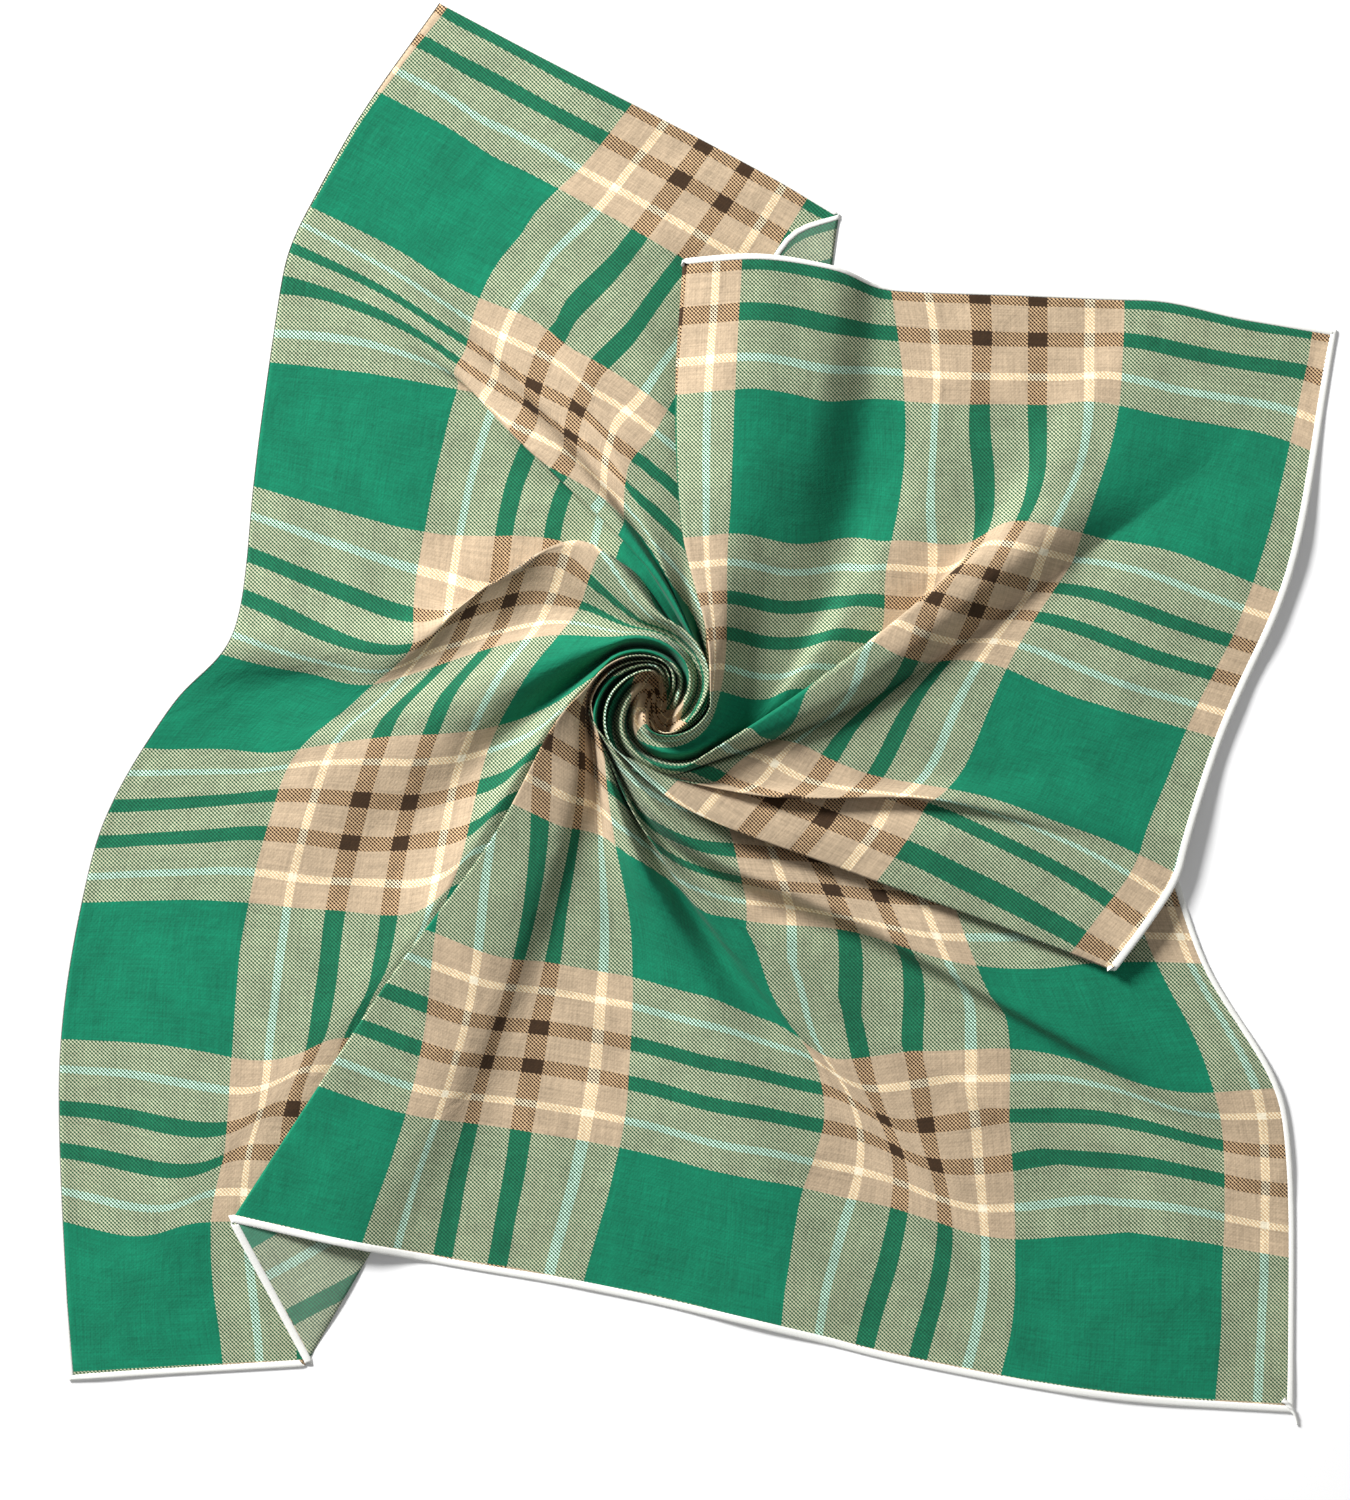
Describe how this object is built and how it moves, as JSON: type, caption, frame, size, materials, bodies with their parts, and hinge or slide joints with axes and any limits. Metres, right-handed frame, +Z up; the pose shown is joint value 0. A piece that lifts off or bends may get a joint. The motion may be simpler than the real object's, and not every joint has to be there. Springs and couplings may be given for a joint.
{
  "type": "square cotton bandana laid flat with a twisted rosette",
  "caption": "Square checked cotton bandana laid out flat, its middle twisted into a low rosette with soft folds running out to an overlocked hem.",
  "frame": {"origin": "middle of the laid-out cloth's box, at table height", "axes": "+Z up from the table, +Y towards the edge with the top corners as seen from above, +X to the right"},
  "size_m": [0.4992, 0.55, 0.0195],
  "materials": {
    "cotton_cloth": "soft woven cotton with a printed check, matte"
  },
  "bodies": {
    "root": {"bandana_cloth": "cotton_cloth"}
  },
  "joints": []
}
